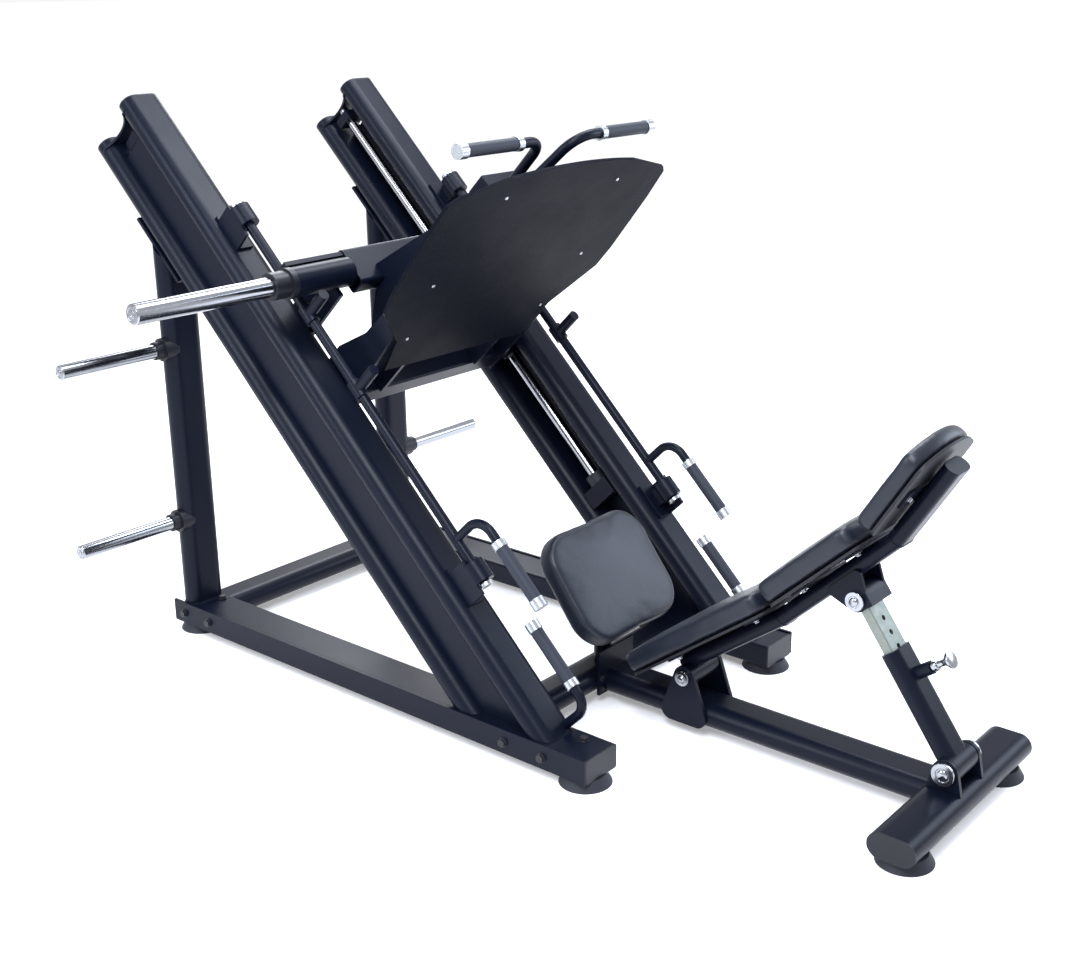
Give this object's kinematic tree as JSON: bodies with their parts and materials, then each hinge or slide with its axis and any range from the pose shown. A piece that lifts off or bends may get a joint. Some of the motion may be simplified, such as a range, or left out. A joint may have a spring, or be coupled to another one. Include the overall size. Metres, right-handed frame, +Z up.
{
  "type": "hack squat machine",
  "caption": "Inclined hack squat and leg press machine: foot-plate sled on guide rods, swing-out safety catches, seat, tilting backrest on a telescopic strut.",
  "frame": {"origin": "on the floor at the centre of the machine's footprint", "axes": "+X towards the machine's right as seen from the backrest looking at the foot plate, +Y towards the high end of the rails, +Z up"},
  "size_m": [1.77, 2.3654, 1.4566],
  "materials": {
    "frame_paint": "satin black powder coat",
    "plate_paint": "fine textured black powder coat",
    "chrome": "polished hard chrome",
    "steel": "brushed stainless steel",
    "bolt_steel": "black oxide",
    "aluminium": "turned aluminium",
    "grip_rubber": "ribbed dark grey rubber",
    "foot_rubber": "matt black rubber",
    "pad": "black artificial leather over foam",
    "board": "plywood painted black",
    "cap_plastic": "matt black plastic"
  },
  "bodies": {
    "frame": {"base_side_beams": "frame_paint", "base_side_plates": "frame_paint", "tube_end_caps": "cap_plastic", "rubber_feet": "foot_rubber", "cross_beams": "frame_paint", "uprights": "frame_paint", "storage_horns": "chrome", "storage_horn_collars": "cap_plastic", "central_beam": "frame_paint", "front_foot": "frame_paint", "rail_upper_tubes": "frame_paint", "rail_lower_tubes": "frame_paint", "rail_side_panels": "frame_paint", "rail_end_plates": "frame_paint", "guide_rods": "chrome", "rod_end_blocks": "frame_paint", "rod_bumpers": "foot_rubber", "catch_bearing_blocks": "frame_paint", "fixed_grip_tubes": "frame_paint", "fixed_grips": "grip_rubber", "fixed_grip_collars": "aluminium", "seat_post": "frame_paint", "seat_board": "board", "seat_pad": "pad", "pivot_lugs": "frame_paint", "pivot_pins": "chrome", "frame_bolts": "bolt_steel"},
    "sled": {"sled_cross_beam": "frame_paint", "sled_horn_roots": "frame_paint", "sled_lower_tube": "frame_paint", "sled_side_plates": "frame_paint", "slide_bearings": "frame_paint", "foot_plate": "plate_paint", "foot_plate_ribs": "frame_paint", "foot_plate_screws": "bolt_steel", "weight_horns": "chrome", "weight_horn_collars": "cap_plastic", "sled_handle_tubes": "frame_paint", "sled_handle_grips": "grip_rubber", "sled_handle_collars": "aluminium"},
    "catch_left": {"catch_shaft_left": "frame_paint", "catch_pegs_left": "frame_paint", "catch_handle_left": "frame_paint", "catch_grip_left": "grip_rubber", "catch_collars_left": "aluminium"},
    "catch_right": {"catch_shaft_right": "frame_paint", "catch_pegs_right": "frame_paint", "catch_handle_right": "frame_paint", "catch_grip_right": "grip_rubber", "catch_collars_right": "aluminium"},
    "backrest": {"backrest_frame": "frame_paint", "backrest_pad_lower": "pad", "backrest_pad_middle": "pad", "backrest_pad_upper": "pad", "backrest_boards": "board", "backrest_brackets": "frame_paint", "backrest_upper_pin": "chrome"},
    "strut_sleeve": {"strut_outer_tube": "frame_paint"},
    "strut_bar": {"strut_inner_bar": "steel"},
    "lock_pin": {"pop_pin": "steel"}
  },
  "joints": [
    {"name": "sled_slide", "type": "slide", "parent": "frame", "child": "sled", "axis": [0, 0.7071, 0.7071], "range_m": [0, 0.54]},
    {"name": "catch_left_swing", "type": "hinge", "parent": "frame", "child": "catch_left", "pos_m": [-0.378, 0.28476, 0.80044], "axis": [0, -0.7071, -0.7071], "range_deg": [0, 75]},
    {"name": "catch_right_swing", "type": "hinge", "parent": "frame", "child": "catch_right", "pos_m": [0.378, 0.28476, 0.80044], "axis": [0, 0.7071, 0.7071], "range_deg": [0, 75]},
    {"name": "backrest_tilt", "type": "hinge", "parent": "frame", "child": "backrest", "pos_m": [0, -0.455, 0.148], "axis": [1, 0, 0], "range_deg": [-3.7, 3.7]},
    {"name": "strut_swing", "type": "hinge", "parent": "frame", "child": "strut_sleeve", "pos_m": [0, -1.119, 0.126], "axis": [1, 0, 0], "range_deg": [-1.5, 1.5]},
    {"name": "strut_slide", "type": "slide", "parent": "strut_sleeve", "child": "strut_bar", "axis": [0, 0.5857, 0.8105], "range_m": [-0.0375, 0.0375]},
    {"name": "lock_pin_pull", "type": "slide", "parent": "strut_sleeve", "child": "lock_pin", "axis": [0, -0.8105, 0.5857], "range_m": [0, 0.012], "stiffness_N_per_m": 900, "springref_m": -0.01}
  ],
  "couplings": [
    {"joint": "strut_swing", "follows": "backrest_tilt", "ratio": -0.00864},
    {"joint": "strut_slide", "follows": "backrest_tilt", "m_per_rad": -0.52495}
  ]
}
